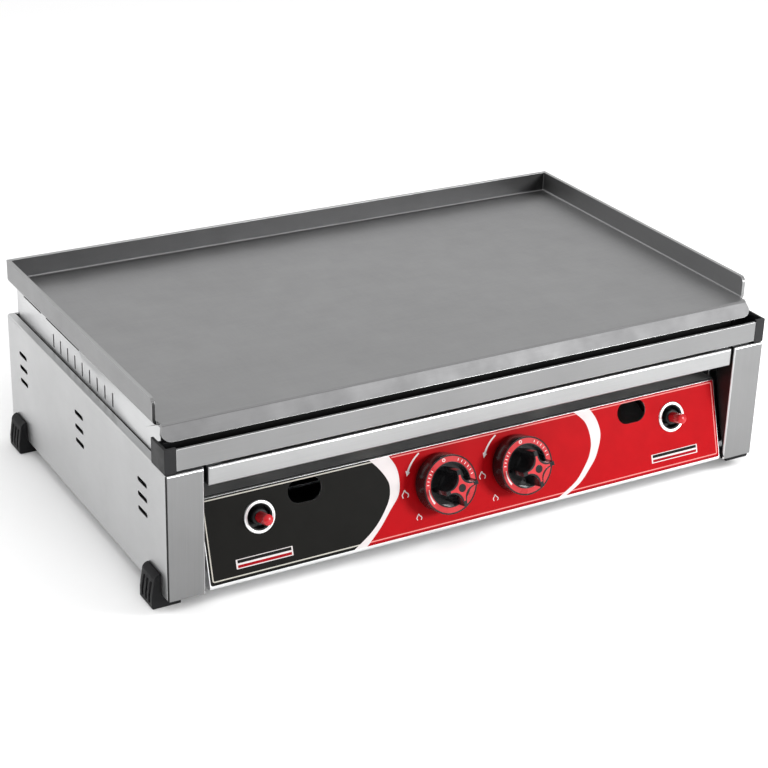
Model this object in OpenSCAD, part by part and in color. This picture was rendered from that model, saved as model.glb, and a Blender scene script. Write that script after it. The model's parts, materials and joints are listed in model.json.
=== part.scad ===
// Two-burner countertop gas griddle with a flat steel top, a slanted control panel
// and a slide-out grease tray.
// x = 0 is the middle of the width, z = 0 is the surface that the feet stand on.
// Modules are written with y = 0 at the front face of the corner posts (+y is the rear).
// placed() then puts the origin in the middle of the outer box.

/* [Body] */
// Overall width over the two side panels
body_w = 700; // [660:10:800]
// Depth from the face of the corner posts to the rear edge of the side panels
body_d = 425; // [400:5:480]
// Height of the side panels and corner posts
body_h = 133.5; // [125:0.5:150]
// Height of the sheet metal base above the table
base_z = 14; // [12:1:20]
// Thickness of the stainless sheet
sheet_t = 1.2; // [0.8:0.1:1.6]
// Width of the front face of a corner post
post_w = 37.5; // [34:0.5:42]
// Height of the front rail
rail_h = 19.3; // [14:0.1:24]

/* [Griddle plate] */
// Outer width of the plate over its side walls
plate_w = 694; // [660:2:700]
// Height of the cooking surface above the table
surface_z = 187.5; // [184:0.5:200]
// Height of the splash walls above the cooking surface
wall_h = 23; // [15:1:40]
// Thickness of the plate
plate_t = 4; // [3:0.5:5]
// Downward angle of the front pouring lip
lip_angle = 60; // [50:1:65]

/* [Control panel] */
// Lean of the control panel away from vertical
panel_tilt = 16.5; // [14:0.5:18]
// Distance of each knob from the middle
knob_x = 45.5; // [42:0.5:60]
// Distance of each igniter from the middle
igniter_x = 246.5; // [240:0.5:260]
// Distance of each sight hole from the middle
sight_x = 195.5; // [190:0.5:205]

/* [Moving parts] */
// Radius of the knob skirt
knob_r = 30.5; // [28:0.5:32]
// Height of the knob top above the panel
knob_h = 45; // [40:1:50]
// How far a knob is pushed in to open its valve
knob_push = 3.5; // [3:0.5:4]
// How far an igniter button is pushed in
button_push = 8; // [6:1:9]

/* [Hidden] */
$fn = 48;

// colours
stainless = [0.78, 0.79, 0.80];
plate_grey = [0.56, 0.56, 0.57];
black_plastic = [0.10, 0.10, 0.11];
charcoal = [0.20, 0.20, 0.21];
label_red = [0.83, 0.09, 0.11];
brass = [0.80, 0.66, 0.36];
ceramic = [0.93, 0.92, 0.88];
galvanised = [0.66, 0.68, 0.70];

// body
half_w = body_w / 2;
side_top = base_z + body_h;
side_front = 1.6;
ledge_w = 9.2;
bend_r = 2;
post_out = half_w - 1.4;
post_in = post_out - post_w;
post_flange = 26;
rail_gap = 4.2;
rail_half = post_in - rail_gap;
rail_depth = 12;
rear_y = body_d + sheet_t;

// plate
plate_half = plate_w / 2;
plate_back = body_d + 0.5;
plate_bend = 6;
plate_top = surface_z + wall_h;
plate_low = surface_z - plate_t;
lip_y = 29;
lip_len = 15.5;
lip_half = plate_half - 5;
lip_flare = 2;
lip_corner = 9.5;
wall_front = lip_y + 7;
wall_front_r = 7;
stud_x = 324;
stud_ys = [100, 360];

// side panel vents
vent_len = 22;
vent_h = 5;
vent_ys = [56.5, 218, 379.5];
vent_zs = [84.5, 100.3, 116];

// firebox
box_half = 338.7;
box_front = 70;
box_arm_front = 36;
box_back = body_d - 4.5;
box_low = 79;
box_top = plate_low - 0.2;
box_slot_w = 3;
box_slot_z = [151, 166];
box_slot_pitch = 20;
box_slot_count = 9;
box_slot_first = 152.5;
gap_z = plate_low - 8;
gap_h = 2.5;

// control panel, in its own frame: u across, v up the slope, h out of the face
panel_z = base_z + 3;
panel_half = 306.5;
panel_low_r = 4;
panel_top_r = 2;
panel_v = 88;
panel_low_z = base_z;
ledge_back = 54;
knob_v = 50;
igniter_v = 58.5;
sight_v = 74.3;
sight_w = 36.5;
sight_h = 24.5;
label_t = 0.3;
label_half = 305.5;
label_v = [2.3, 87.8];
tilt_s = sin(panel_tilt);
tilt_c = cos(panel_tilt);

// knob
knob_gap = knob_push + 0.8;
knob_rim = 22.9;
ring_out = 29;
ring_in = 23.4;
ring_h = 22.7;
star_turn = 7;
star_r = 19;
star_cut_r = 14;
star_cut_d = 22.5;
cap_r = 13.6;
cap_cut_r = 12;
cap_cut_d = 18.5;
cap_dot_r = 4.2;
stem_r = 4;
stem_gap = 0.05;
stem_in = 30;
stem_out = 36;
knob_front_y = (knob_v - star_r) * tilt_s - knob_h * tilt_c;

// gas train
manifold_v = 24;
manifold_h = 24;
manifold_r = 8;
manifold_half = 92;
valve_boss = 16;
valve_screw_u = 15;
outlet_h = 20;
outlet_len = 20;
feed_r = 3;
venturi_x = 105;
burner_out_x = 255;
burner_z = 118;
burner_r = 11;
burner_wall = 1;
burner_front = 66;
burner_bend = 25;
burner_back = 370;
injector_y = 60;
riser_y = 80;
probe_y = 84;
pipe_x = 140;
pipe_r = 5;
inlet_r = 10.4775;
inlet_bore = 6;
locknut_t = 5;
inlet_end = rear_y + 34;

// grease tray
tray_half = 338;
tray_front = 2;
tray_back = 33;
tray_low = 150;
tray_top = 172;
tray_rear_top = 168.5;
tray_t = 1;
cap_low = 148;
cap_wall = 3;

// feet
foot_x = [330, 360];
foot_len = 30;
foot_front = 16;
foot_rear = body_d - foot_front - foot_len;
foot_top = 37;

origin_y = (knob_front_y + inlet_end) / 2;

module placed() {
    translate([0, -origin_y, 0]) children();
}

// puts its children in the control panel's frame, at (u, v) on the face
module on_panel(u, v) {
    translate([u, 0, panel_z]) rotate([90 - panel_tilt, 0, 0]) translate([0, v, 0]) children();
}

// a point of the panel's frame in the body's frame
function panel_point(u, v, h) =
    [u, v * tilt_s - h * tilt_c, panel_z + v * tilt_c + h * tilt_s];

function arc(c, r, a0, a1, n = 10) =
    [for (i = [0:n]) c + r * [cos(a0 + (a1 - a0) * i / n), sin(a0 + (a1 - a0) * i / n)]];

function reversed(list) = [for (i = [len(list) - 1:-1:0]) list[i]];

// ---------- shared shapes ----------

// outline of a bent sheet: flat side at y = 0, folded edges towards +y
module bent_outline(w, d, r) {
    translate([-w / 2 + r, 0]) square([w - 2 * r, d]);
    translate([-w / 2, r]) square([w, d - r]);
    for (s = [-1, 1]) translate([s * (w / 2 - r), r]) circle(r);
}

// face in the xy plane at z = 0, edges folded towards +z
module folded_solid(w, h, d, r) {
    intersection() {
        translate([0, h / 2, 0]) rotate([90, 0, 0]) linear_extrude(h) bent_outline(w, d, r);
        rotate([90, 0, 90]) translate([0, 0, -w / 2]) linear_extrude(w) bent_outline(h, d, r);
    }
}

module folded_panel(w, h, d, t = sheet_t, r = bend_r) {
    difference() {
        folded_solid(w, h, d, r);
        translate([0, 0, t]) folded_solid(w - 2 * t, h - 2 * t, d, r - t);
    }
}

module obround(length, width) {
    translate([-(length - width) / 2, -width / 2]) square([length - width, width]);
    for (s = [-1, 1]) translate([s * (length - width) / 2, 0]) circle(width / 2);
}

function unit(v) = v / norm(v);

// a route with its inner corners rounded, reaching up to r along each leg
function bent_route(points, r) = concat(
    [points[0]],
    [for (i = [1:len(points) - 2])
        let (to_last = points[i - 1] - points[i], to_next = points[i + 1] - points[i],
             p = points[i] + unit(to_last) * min(r, norm(to_last) * 0.45),
             q = points[i] + unit(to_next) * min(r, norm(to_next) * 0.45))
        for (t = [0:0.2:1]) (1 - t) ^ 2 * p + 2 * t * (1 - t) * points[i] + t ^ 2 * q],
    [points[len(points) - 1]]);

// a side direction carried along a route without twisting
function carried(ahead, side, i = 0) =
    i == len(ahead) ? [] :
    let (next = unit(side - (side * ahead[i]) * ahead[i])) concat([next], carried(ahead, next, i + 1));

// round tube swept along a route
module tube(route, r, sides = 12) {
    last = len(route) - 1;
    ahead = [for (i = [0:last]) unit(route[min(i + 1, last)] - route[max(i - 1, 0)])];
    side = carried(ahead, cross(ahead[0], [0.3, 0.2, 0.9]));
    rings = [for (i = [0:last]) for (a = [0:360 / sides:359])
        route[i] + r * (cos(a) * side[i] + sin(a) * cross(ahead[i], side[i]))];
    polyhedron(rings, concat(
        [[for (j = [0:sides - 1]) j]],
        [[for (j = [sides - 1:-1:0]) last * sides + j]],
        [for (i = [0:last - 1]) for (j = [0:sides - 1]) let (k = (j + 1) % sides)
            [i * sides + j, (i + 1) * sides + j, (i + 1) * sides + k, i * sides + k]]));
}

module hexagon(across, h) {
    cylinder(r = across / 2 / cos(30), h = h, $fn = 6);
}

module pan_head(r, h) {
    rotate_extrude($fn = 32) intersection() {
        translate([0, h - r * 1.6]) circle(r * 1.6);
        square([r, h]);
    }
}

module both_sides() {
    for (s = [0, 1]) mirror([s, 0, 0]) children();
}

module left_side() {
    mirror([1, 0, 0]) children();
}

// ---------- griddle plate ----------

module plate_block(inset, r, height) {
    w = 2 * (plate_half - inset);
    depth = plate_back - inset - lip_y;
    low = plate_low + inset;
    intersection() {
        translate([0, plate_back - inset, low]) rotate([90, 0, 0])
            linear_extrude(depth + inset) bent_outline(w, height, r);
        translate([-w / 2, plate_back - inset, low]) rotate([90, 0, 90])
            linear_extrude(w) plate_side_outline(depth + inset, height, r);
    }
}

// rounded only where the floor turns up into the rear wall
module plate_side_outline(depth, height, r) {
    translate([-depth, 0]) square([depth - r, height]);
    translate([-depth, r]) square([depth, height - r]);
    translate([-r, r]) circle(r);
}

// ends the side walls a little behind the lip, and rounds their top corners
module wall_end_cut() {
    corner_y = wall_front + wall_front_r;
    corner_z = plate_top - wall_front_r;
    both_sides() translate([lip_half, lip_y - 1, plate_low - 1])
        cube([plate_half - lip_half + 1, wall_front - lip_y + 1, wall_h + plate_t + 2]);
    translate([-plate_half - 1, 0, 0]) rotate([90, 0, 90]) linear_extrude(2 * plate_half + 2)
        difference() {
            translate([wall_front - 1, corner_z]) square([wall_front_r + 1, wall_front_r + 1]);
            translate([corner_y, corner_z]) circle(wall_front_r);
            translate([corner_y, corner_z - 1]) square([wall_front_r, wall_front_r + 3]);
        }
}

module lip_outline() {
    reach = lip_half + lip_flare;
    polygon(concat(
        [[-lip_half, 0]],
        arc([-reach + lip_corner, -lip_len + lip_corner], lip_corner, 180, 270),
        arc([reach - lip_corner, -lip_len + lip_corner], lip_corner, 270, 360),
        [[lip_half, 0]]));
}

module griddle_plate() {
    color(plate_grey) placed() {
        difference() {
            plate_block(0, plate_bend, plate_top - plate_low);
            plate_block(plate_t, plate_bend - plate_t, wall_h + 1);
            wall_end_cut();
        }
        // bend between the cooking surface and the lip
        translate([-lip_half, 0, 0]) rotate([90, 0, 90]) linear_extrude(2 * lip_half)
            polygon(concat([[lip_y, plate_low]], arc([lip_y, plate_low], plate_t, 90, 90 + lip_angle, 8)));
        translate([0, lip_y, plate_low]) rotate([lip_angle, 0, 0])
            linear_extrude(plate_t) lip_outline();
    }
}

// four welded bosses with threaded ends
module plate_studs() {
    color(galvanised) placed() both_sides() for (y = stud_ys) translate([stud_x, y, 0]) {
        translate([0, 0, 173.5]) cylinder(r = 5.5, h = plate_low - 173.5);
        translate([0, 0, 161]) cylinder(r = 3, h = 13);
    }
}

module plate_nuts() {
    color(galvanised) placed() both_sides() for (y = stud_ys) translate([stud_x, y, 166.8])
        difference() {
            hexagon(10, 5);
            translate([0, 0, -1]) cylinder(r = 3, h = 7);
        }
}

module plate_brackets() {
    inner = box_half - sheet_t;
    color(galvanised) placed() both_sides() for (y = stud_ys) difference() {
        union() {
            translate([inner - 26, y - 14, 171.8]) cube([26, 28, 1.7]);
            translate([inner - 1.7, y - 14, 146]) cube([1.7, 28, 26]);
        }
        translate([stud_x, y, 170]) cylinder(r = 3.2, h = 5);
    }
}

// ---------- outer sheet metal ----------

module vent_slots() {
    for (y = vent_ys) for (z = vent_zs)
        translate([half_w - 5, y, z]) rotate([90, 0, 90]) linear_extrude(10) obround(vent_len, vent_h);
}

module rear_screw_places() {
    for (z = [34, 81, 128]) translate([half_w - 5.4, body_d, z]) rotate([-90, 0, 0]) children();
}

module foot_places() {
    for (y = [foot_front, foot_rear]) translate([0, y + foot_len / 2, 0]) children();
}

module side_panel() {
    length = body_d - side_front;
    difference() {
        translate([half_w, side_front + length / 2, base_z + body_h / 2])
            rotate([0, -90, 0]) rotate([0, 0, 90]) folded_panel(length, body_h, ledge_w);
        vent_slots();
        rear_screw_places() translate([0, 0, -4]) cylinder(r = 2, h = 6, $fn = 24);
        foot_places() translate([half_w - 5.2, 0, base_z - 2]) cylinder(r = 2, h = 5, $fn = 24);
    }
}

module left_side_panel() {
    color(stainless) placed() left_side() side_panel();
}

module right_side_panel() {
    color(stainless) placed() side_panel();
}

module rear_slots() {
    for (x = [-250, -150, 150, 250]) for (z = vent_zs)
        translate([x, body_d + 5, z]) rotate([90, 0, 0]) linear_extrude(10) obround(vent_len * 2, vent_h);
}

module rear_panel() {
    color(stainless) placed() difference() {
        union() {
            translate([-half_w + 2, body_d, base_z + 2]) cube([body_w - 4, sheet_t, body_h - 2]);
            translate([-half_w + ledge_w + 1, body_d - 3, side_top - sheet_t])
                cube([body_w - 2 * ledge_w - 2, 3, sheet_t]);
        }
        rear_slots();
        both_sides() rear_screw_places() translate([0, 0, -2]) cylinder(r = 2, h = 6, $fn = 24);
        translate([pipe_x, body_d - 2, pipe_centre_z()]) rotate([-90, 0, 0])
            cylinder(r = inlet_r + 0.1, h = 6);
    }
}

module bottom_pan() {
    color(galvanised) placed() difference() {
        translate([0, 222.5, base_z + 1.4]) folded_panel(2 * half_w - 3, 399, 8);
        for (x = [-240, -120, 0, 240]) for (y = [150, 180, 210, 240, 270])
            translate([x, y, base_z]) linear_extrude(6) obround(70, 6);
        both_sides() foot_places() translate([half_w - 5.2, 0, base_z]) cylinder(r = 2, h = 5, $fn = 24);
        // clears the nut of the gas inlet
        translate([pipe_x - 17, body_d - 9, base_z + 2.9]) cube([34, 8, 8]);
    }
}

// sheet bent back at its inner side and top; the inner flange follows the panel's slope
module corner_post() {
    slope_top = panel_z + post_flange / tan(panel_tilt);
    difference() {
        intersection() {
            translate([0, 0, base_z]) linear_extrude(body_h) post_plan(0);
            translate([post_in - 1, 0, 0]) rotate([90, 0, 90])
                linear_extrude(post_w + 2) post_side(0);
        }
        intersection() {
            translate([0, 0, base_z - 1]) linear_extrude(body_h + 2) post_plan(sheet_t);
            translate([post_in - 1, 0, 0]) rotate([90, 0, 90])
                linear_extrude(post_w + 2) post_side(sheet_t);
        }
        // clears the ledge of the side panel
        translate([half_w - ledge_w - 0.4, sheet_t, base_z - 1]) cube([ledge_w, post_flange, body_h + 2]);
        // shortens the top flange behind the face
        translate([post_in + sheet_t, 16, base_z]) cube([post_w, post_flange, body_h + 1]);
        // slope of the inner flange
        translate([post_in - 2, 0, 0]) rotate([90, 0, 90]) linear_extrude(sheet_t + 3)
            polygon([[0, panel_z], [post_flange, slope_top], [post_flange + 9, slope_top],
                     [post_flange + 9, base_z - 1], [sheet_t, base_z - 1], [sheet_t, panel_z]]);
    }
}

module post_plan(inset) {
    r = bend_r - inset * 0.9;
    x0 = post_in + inset;
    reach = post_out - x0 + inset;
    translate([x0 + r, inset]) square([reach - r, post_flange]);
    translate([x0, inset + r]) square([reach, post_flange - r]);
    translate([x0 + r, inset + r]) circle(r);
}

module post_side(inset) {
    r = bend_r - inset * 0.9;
    top = side_top - inset;
    low = base_z - inset;
    translate([inset, low]) square([post_flange, top - low - r]);
    translate([inset + r, low]) square([post_flange - r, top - low]);
    translate([inset + r, top - r]) circle(r);
}

module left_front_post() {
    color(stainless) placed() left_side() corner_post();
}

module right_front_post() {
    color(stainless) placed() corner_post();
}

module front_top_rail() {
    color(stainless) placed() translate([0, 0, side_top - rail_h / 2]) rotate([-90, 0, 0])
        folded_panel(2 * rail_half, rail_h, rail_depth);
}

// ---------- control panel ----------

// sight holes, igniter holes and valve stem holes, cut square to the face
module panel_holes(stem_hole, igniter_hole) {
    for (s = [-1, 1]) {
        on_panel(s * sight_x, sight_v) translate([0, 0, -6]) linear_extrude(12) obround(sight_w, sight_h);
        on_panel(s * igniter_x, igniter_v) translate([0, 0, -6]) cylinder(r = igniter_hole, h = 12);
        on_panel(s * knob_x, knob_v) translate([0, 0, -6]) cylinder(r = stem_hole, h = 12);
        for (u = [-valve_screw_u, valve_screw_u])
            on_panel(s * knob_x + u, knob_v) translate([0, 0, -6]) cylinder(r = 2, h = 12);
    }
}

function panel_path(inset) =
    let (low_v = (panel_low_r * (1 + tilt_s) - (panel_z - panel_low_z)) / tilt_c,
         low = [panel_point(0, low_v, -panel_low_r)[1], panel_point(0, low_v, -panel_low_r)[2]],
         top = [panel_point(0, panel_v, -panel_top_r)[1], panel_point(0, panel_v, -panel_top_r)[2]])
    concat([[18, low[1] - panel_low_r + inset]],
           arc(low, panel_low_r - inset, 270, 180 - panel_tilt),
           arc(top, panel_top_r - inset, 180 - panel_tilt, 90),
           [[ledge_back, top[1] + panel_top_r - inset]]);

module control_panel() {
    color(stainless) placed() difference() {
        union() {
            translate([-panel_half, 0, 0]) rotate([90, 0, 90]) linear_extrude(2 * panel_half)
                polygon(concat(panel_path(0), reversed(panel_path(sheet_t))));
            // end cheeks
            for (x = [-panel_half, panel_half - sheet_t])
                translate([x, 0, 0]) rotate([90, 0, 90]) linear_extrude(sheet_t)
                    polygon(panel_path(0));
        }
        panel_holes(7, 13.6);
    }
}

// angles that stand on the bottom pan and hold the cheeks of the control panel
module panel_brackets() {
    inner = panel_half - sheet_t;
    foot_z = base_z + 1.4 + sheet_t;
    color(galvanised) placed() both_sides() {
        translate([inner - 1.7, 25.6, foot_z]) cube([1.7, 12, 46]);
        translate([inner - 20, 25.6, foot_z]) cube([20, 12, 1.7]);
    }
}

module panel_label() {
    color(label_red) placed() difference() {
        on_panel(0, label_v[0]) translate([-label_half, 0, 0])
            cube([2 * label_half, label_v[1] - label_v[0], label_t]);
        panel_holes(8, 13.6);
    }
}

// ---------- firebox ----------

module box_slots() {
    for (i = [0:box_slot_count - 1])
        translate([box_half - 5, box_slot_first + i * box_slot_pitch - box_slot_w / 2, box_slot_z[0]])
            cube([10, box_slot_w, box_slot_z[1] - box_slot_z[0]]);
    // long gaps under the edge of the plate
    translate([box_half - 5, 240, gap_z]) cube([10, 93, gap_h]);
    translate([box_half - 5, 347, gap_z]) cube([10, 53, gap_h]);
}

module side_firebox_wall() {
    difference() {
        union() {
            translate([box_half - sheet_t, box_front, box_low])
                cube([sheet_t, box_back - box_front, box_top - box_low]);
            translate([box_half - 12, box_front + 2, box_low])
                cube([12, box_back - box_front - 4, sheet_t]);
            // outward flange welded under the top edge of the side panel
            translate([box_half - sheet_t, box_arm_front + 2, side_top - 2 * sheet_t])
                cube([half_w - box_half - 1.6, box_back - box_arm_front - 7, sheet_t]);
            // stretch in front of the firebox, behind the tray
            translate([box_half - sheet_t, box_arm_front, side_top - 6])
                cube([sheet_t, box_front - box_arm_front + 1, box_top - side_top + 6]);
        }
        box_slots();
    }
}

module left_firebox_wall() {
    color(stainless) placed() left_side() side_firebox_wall();
}

module right_firebox_wall() {
    color(stainless) placed() side_firebox_wall();
}

module rear_firebox_wall() {
    inner = box_half - sheet_t;
    color(stainless) placed() difference() {
        translate([-inner, box_back - sheet_t, box_low + 2])
            cube([2 * inner, sheet_t, box_top - box_low - 2]);
        for (i = [-14:14]) translate([i * box_slot_pitch - box_slot_w / 2, box_back - 5, box_slot_z[0]])
            cube([box_slot_w, 10, box_slot_z[1] - box_slot_z[0]]);
        for (x = [-300, -90, 120]) translate([x, box_back - 5, gap_z]) cube([180, 10, gap_h]);
    }
}

module front_firebox_wall() {
    inner = box_half - sheet_t;
    color(galvanised) placed() difference() {
        translate([-inner, box_front, box_low + 2]) cube([2 * inner, sheet_t, box_top - box_low - 2]);
        both_sides() {
            translate([venturi_x, box_front - 3, burner_z]) rotate([-90, 0, 0]) cylinder(r = 14, h = 8);
            translate([sight_x, box_front + 5, 100]) rotate([90, 0, 0]) linear_extrude(8) obround(46, 22);
            translate([225, box_front - 3, burner_z]) rotate([-90, 0, 0]) cylinder(r = 4, h = 8);
        }
    }
}

module heat_shield() {
    color(galvanised) placed() difference() {
        translate([-336, box_front + 2, box_low + sheet_t]) cube([672, 346, sheet_t]);
        for (x = [-knob_x, knob_x]) translate([x, riser_y, box_low]) cylinder(r = 5, h = 5);
    }
}

// ---------- gas train ----------

module burner_core(r) {
    straight = burner_back - burner_bend;
    translate([venturi_x, burner_front, burner_z]) rotate([-90, 0, 0])
        cylinder(r = r, h = straight - burner_front);
    translate([burner_out_x, 84, burner_z]) rotate([-90, 0, 0]) cylinder(r = r, h = straight - 84);
    translate([venturi_x + burner_bend, burner_back, burner_z]) rotate([0, 90, 0])
        cylinder(r = r, h = burner_out_x - venturi_x - 2 * burner_bend);
    translate([venturi_x + burner_bend, straight, burner_z]) rotate([0, 0, 90])
        rotate_extrude(angle = 90) translate([burner_bend, 0]) circle(r);
    translate([burner_out_x - burner_bend, straight, burner_z])
        rotate_extrude(angle = 90) translate([burner_bend, 0]) circle(r);
}

module burner() {
    difference() {
        union() {
            burner_core(burner_r);
            translate([burner_out_x, 82, burner_z]) rotate([-90, 0, 0]) cylinder(r = burner_r + 0.5, h = 4);
            translate([venturi_x, burner_front, burner_z]) rotate([-90, 0, 0])
                cylinder(r = burner_r + 1.5, h = 18);
        }
        burner_core(burner_r - burner_wall);
        translate([venturi_x, burner_front - 1, burner_z]) rotate([-90, 0, 0])
            cylinder(r = burner_r - burner_wall, h = 3);
        for (x = [venturi_x, burner_out_x]) for (y = [110:18:330])
            translate([x - 20, y, burner_z + 4]) rotate([0, 90, 0]) cylinder(r = 1.3, h = 40, $fn = 16);
        // air inlets of the mixing tube
        translate([venturi_x - 20, burner_front + 9, burner_z]) rotate([0, 90, 0])
            cylinder(r = 3.5, h = 40, $fn = 24);
    }
}

module left_burner() {
    color(stainless) placed() left_side() burner();
}

module right_burner() {
    color(stainless) placed() burner();
}

// two angle bars that the burner tubes lie on
module burner_supports() {
    inner = box_half - sheet_t;
    top = burner_z - burner_r;
    color(galvanised) placed() for (y = [96, 340]) {
        translate([-inner, y - 8, top - 1.5]) cube([2 * inner, 16, 1.5]);
        translate([-inner, y + 6.5, top - 14]) cube([2 * inner, 1.5, 13]);
    }
}

function pipe_centre_z() = panel_point(0, manifold_v, -manifold_h)[2];
function pipe_front_y() = panel_point(0, manifold_v, -manifold_h)[1];

module gas_manifold() {
    branch = knob_v - manifold_v - valve_boss;
    color(galvanised) placed() difference() {
        union() {
            on_panel(0, manifold_v) translate([-manifold_half, 0, -manifold_h]) rotate([0, 90, 0])
                cylinder(r = manifold_r, h = 2 * manifold_half);
            for (s = [-1, 1]) on_panel(s * knob_x, manifold_v) translate([0, 0, -manifold_h])
                rotate([-90, 0, 0]) cylinder(r = 7, h = branch);
        }
        on_panel(0, manifold_v) translate([0, 0, -manifold_h]) rotate([0, 90, 0]) {
            translate([0, 0, -manifold_half + 2]) cylinder(r = manifold_r - 1.5, h = 2 * manifold_half - 4);
            // seat of the supply pipe
            translate([0, 0, manifold_half - 3]) cylinder(r = pipe_r, h = 5);
        }
        for (s = [-1, 1]) on_panel(s * knob_x, manifold_v) translate([0, 0, -manifold_h])
            rotate([-90, 0, 0]) cylinder(r = 3, h = branch + 1);
    }
}

// body of a safety valve, on the axis of its knob
module gas_valve() {
    on_panel(knob_x, knob_v) difference() {
        union() {
            translate([0, 0, -8]) cylinder(r = 12, h = 8 - sheet_t);
            translate([0, 0, -5]) linear_extrude(5 - sheet_t) obround(2 * valve_screw_u + 12, 12);
            translate([0, 0, -36]) cylinder(r = 13, h = 28);
            translate([0, 0, -56]) cylinder(r = 9, h = 20);
            translate([0, 0, -63]) cylinder(r = 5, h = 7);
            translate([0, 0, -manifold_h]) rotate([90, 0, 0]) cylinder(r = 8, h = valve_boss);
            translate([0, 0, -outlet_h]) rotate([0, 90, 0]) cylinder(r = 6, h = outlet_len);
        }
        translate([0, 0, -stem_in]) cylinder(r = stem_r + stem_gap, h = stem_in + 1);
        translate([0, 0, -40]) cylinder(r = 6, h = 10);
        translate([0, 0, -52]) cylinder(r = 2 + stem_gap, h = 13);
        for (u = [-valve_screw_u, valve_screw_u]) translate([u, 0, -6]) cylinder(r = 2, h = 6);
        // inlet and outlet ways
        translate([0, -7, -manifold_h]) rotate([90, 0, 0]) cylinder(r = 3, h = 20);
        translate([7, 0, -outlet_h]) rotate([0, 90, 0]) cylinder(r = 2, h = 20);
    }
}

module valve_screws() {
    color(galvanised) placed() for (s = [-1, 1]) for (u = [-valve_screw_u, valve_screw_u])
        on_panel(s * knob_x + u, knob_v) {
            translate([0, 0, -5]) cylinder(r = 2, h = 5 + label_t);
            translate([0, 0, label_t]) pan_head(3.6, 2);
        }
}

module left_gas_valve() {
    color(brass) placed() left_side() gas_valve();
}

module right_gas_valve() {
    color(brass) placed() gas_valve();
}

module feed_pipes() {
    start = panel_point(knob_x + outlet_len, knob_v, -outlet_h);
    color(galvanised) placed() both_sides()
        tube(bent_route([start, [venturi_x, start[1], start[2]], [venturi_x, injector_y, start[2] + 8],
                         [venturi_x, injector_y, burner_z - 5]], 10), feed_r);
}

module gas_injectors() {
    color(brass) placed() both_sides() translate([venturi_x, injector_y, burner_z]) {
        translate([0, 0, -5]) cylinder(r = 5, h = 10);
        rotate([-90, 0, 0]) difference() {
            union() {
                cylinder(r = 4.5, h = 8);
                cylinder(r = 3, h = 12);
            }
            translate([0, 0, 6]) cylinder(r = 0.5, h = 8, $fn = 16);
        }
    }
}

module thermocouples() {
    start = panel_point(knob_x, knob_v, -63);
    color(brass) placed() both_sides() {
        tube(bent_route([start, panel_point(knob_x, knob_v, -72), [knob_x, riser_y, start[2]],
                         [knob_x, riser_y, 112], [60, probe_y, burner_z], [72, probe_y, burner_z]], 8),
             1.5, 8);
        translate([71, probe_y, burner_z]) rotate([0, 90, 0]) cylinder(r = 2.5, h = 20);
    }
}

module spark_electrodes() {
    color(ceramic) placed() both_sides() {
        translate([225, 58, burner_z]) rotate([-90, 0, 0]) cylinder(r = 3.6, h = 32);
        tube(bent_route([[225, 90, burner_z], [225, 98, burner_z], [241, 99, burner_z]], 4), 1, 8);
    }
}

module ignition_leads() {
    start = panel_point(igniter_x, igniter_v, -43);
    color(black_plastic) placed() both_sides()
        tube(bent_route([start, panel_point(igniter_x, igniter_v, -48), [232, 61, 78], [225, 59, 98],
                         [225, 50, 114], [225, 52, burner_z], [225, 58, burner_z]], 6), 1.8, 8);
}

// black cup behind the panel with a barrel and a collar that guide the button
module piezo_igniter() {
    on_panel(igniter_x, igniter_v) difference() {
        union() {
            difference() {
                translate([0, 0, -12]) cylinder(r = 13.5, h = 12.4);
                translate([0, 0, -10]) cylinder(r = 12.2, h = 12);
            }
            translate([0, 0, -38]) cylinder(r = 9, h = 27);
            translate([0, 0, -43]) cylinder(r = 2.5, h = 6);
            // collar in the cup
            translate([0, 0, -11]) cylinder(r = 8.3, h = 12.8);
            translate([0, 0, 1.8]) cylinder(r1 = 8.3, r2 = 7.1, h = 1.2);
            // clamping nut against the back of the panel
            difference() {
                translate([0, 0, -5 - sheet_t]) hexagon(32, 5);
                translate([0, 0, -6 - sheet_t]) cylinder(r = 13, h = 7);
            }
        }
        translate([0, 0, -24 - button_push]) cylinder(r = 5.5, h = 28 + button_push);
    }
}

module left_piezo_igniter() {
    color(black_plastic) placed() left_side() piezo_igniter();
}

module right_piezo_igniter() {
    color(black_plastic) placed() piezo_igniter();
}

module igniter_bezels() {
    color(stainless) placed() for (s = [-1, 1]) on_panel(s * igniter_x, igniter_v)
        translate([0, 0, label_t]) rotate_extrude() translate([13.6, 0]) {
            intersection() {
                translate([1.6, 0]) circle(1.6);
                square([4, 4]);
            }
            square([1.6, 1.2]);
        }
}

// threaded gas connection through the rear panel, with a relief groove behind the locknut
module gas_inlet() {
    thread_start = rear_y + locknut_t + 1;
    color(brass) placed() translate([pipe_x, 0, pipe_centre_z()]) rotate([-90, 0, 0]) difference() {
        union() {
            translate([0, 0, body_d - 8]) hexagon(27, 8);
            translate([0, 0, body_d - 1]) cylinder(r = inlet_r, h = sheet_t + locknut_t + 1);
            translate([0, 0, body_d - 1]) cylinder(r = inlet_r - 1.5, h = inlet_end - body_d);
            translate([0, 0, thread_start]) cylinder(r = inlet_r, h = inlet_end - thread_start);
        }
        translate([0, 0, body_d - 2]) cylinder(r = inlet_bore, h = inlet_end - body_d + 3);
        // socket of the supply pipe
        translate([0, 0, body_d - 9]) cylinder(r = pipe_r, h = 8);
    }
}

module inlet_locknut() {
    color(brass) placed() translate([pipe_x, rear_y, pipe_centre_z()]) rotate([-90, 0, 0])
        difference() {
            hexagon(27, locknut_t);
            translate([0, 0, -1]) cylinder(r = inlet_r, h = locknut_t + 2);
        }
}

module gas_supply_pipe() {
    y = pipe_front_y();
    z = pipe_centre_z();
    color(brass) placed()
        tube(bent_route([[manifold_half - 14, y, z], [pipe_x, y, z], [pipe_x, body_d - 2, z]], 20),
             pipe_r, 16);
}

// ---------- feet ----------

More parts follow.
